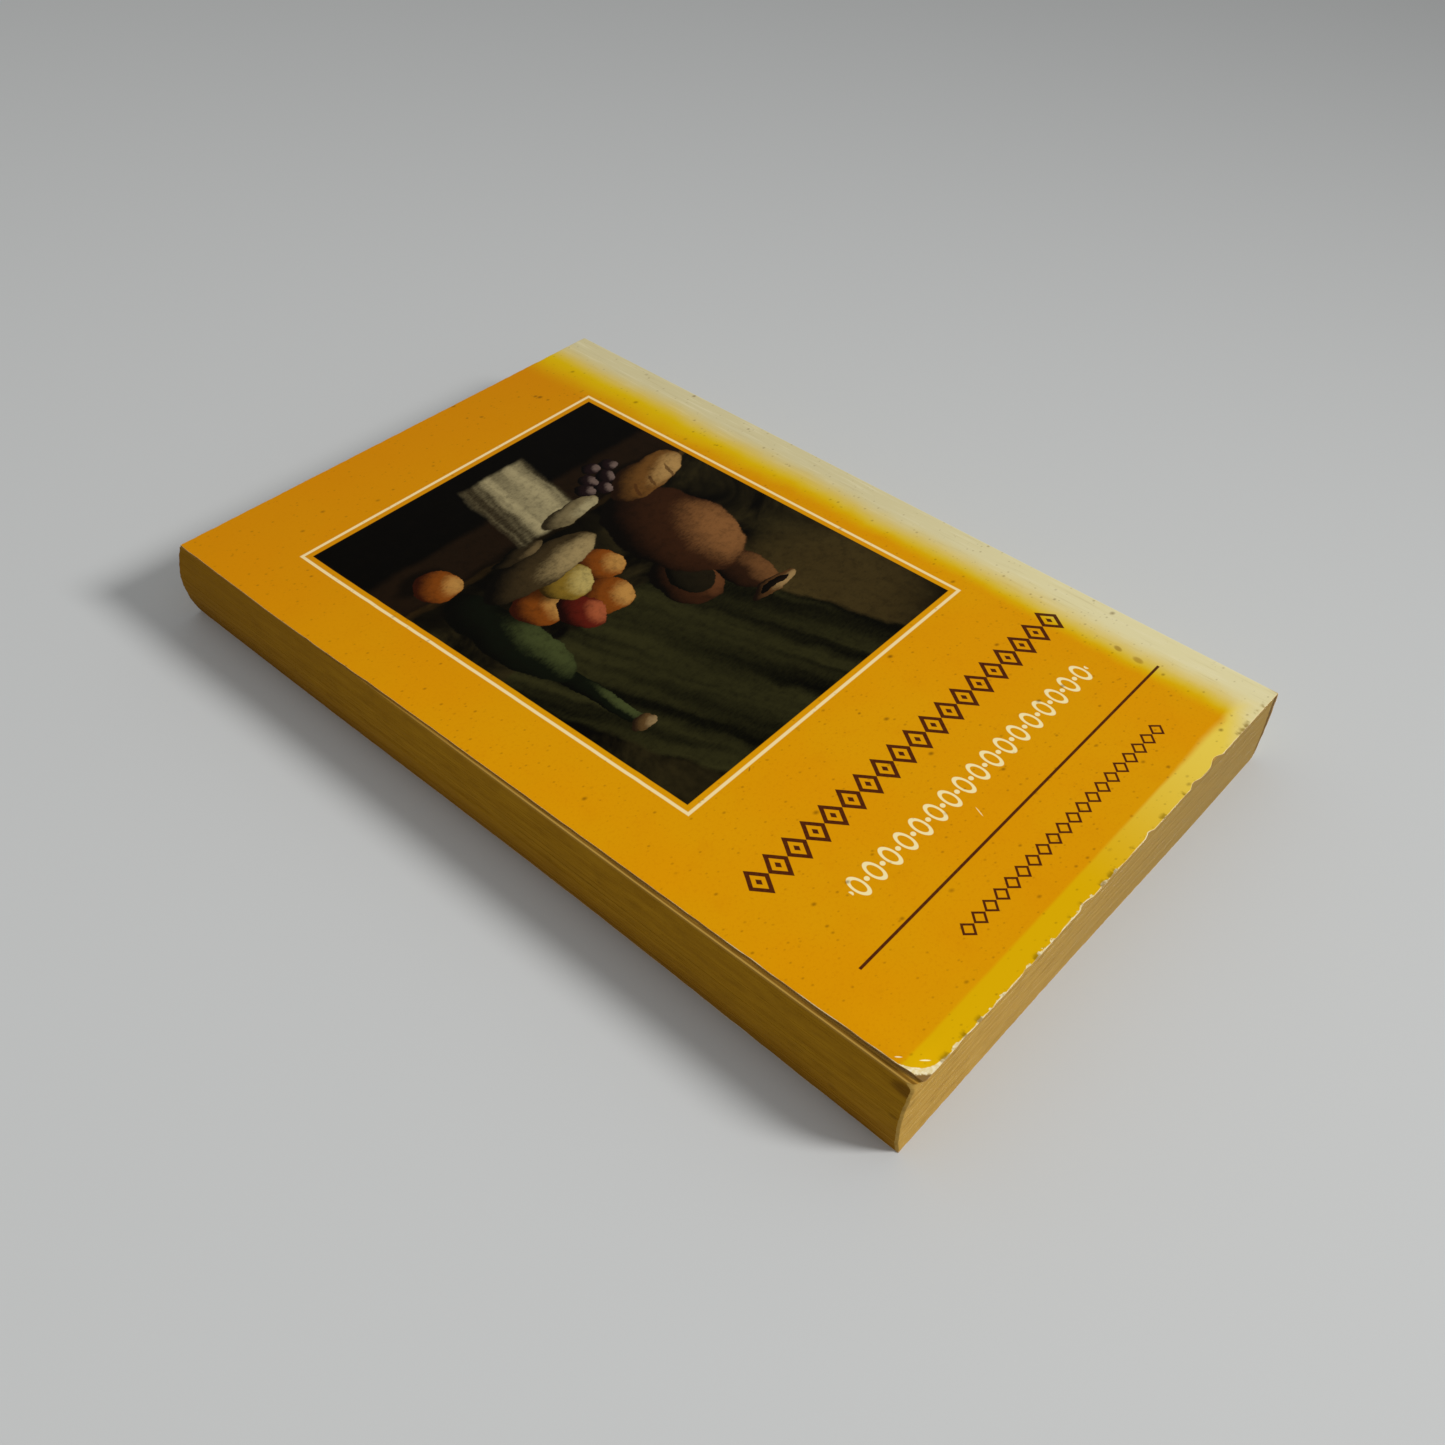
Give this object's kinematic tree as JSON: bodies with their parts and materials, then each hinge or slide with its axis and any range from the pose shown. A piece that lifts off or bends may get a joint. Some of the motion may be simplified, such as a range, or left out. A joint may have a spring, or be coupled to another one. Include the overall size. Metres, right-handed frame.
{
  "type": "paperback book",
  "caption": "Small-format paperback book lying closed: a glued block of leaves in a wrapped card cover whose front and back boards open at creases beside the spine.",
  "frame": {"origin": "under the middle of the closed book, on the surface that its back cover rests on", "axes": "+X from the spine to the fore-edge, +Y from the tail to the head, +Z from the back cover up to the front cover"},
  "size_m": [0.1194, 0.184, 0.0175],
  "materials": {
    "leaves": "matte, aged and browned at the trimmed edges",
    "glue": "matte, yellowed",
    "cover_card": "laminated, soft sheen, sun-faded along the spine and the head"
  },
  "bodies": {
    "book": {"text_block": "leaves", "spine_glue": "glue", "spine_cover": "cover_card"},
    "front_board": {"front_cover": "cover_card"},
    "back_board": {"back_cover": "cover_card"}
  },
  "joints": [
    {"name": "front_cover_hinge", "type": "hinge", "parent": "book", "child": "front_board", "pos_m": [-0.05482, 0, 0.0175], "axis": [0, -1, 0], "range_deg": [0, 175]},
    {"name": "back_cover_hinge", "type": "hinge", "parent": "book", "child": "back_board", "pos_m": [-0.05482, 0, 0], "axis": [0, 1, 0], "range_deg": [0, 175]}
  ]
}
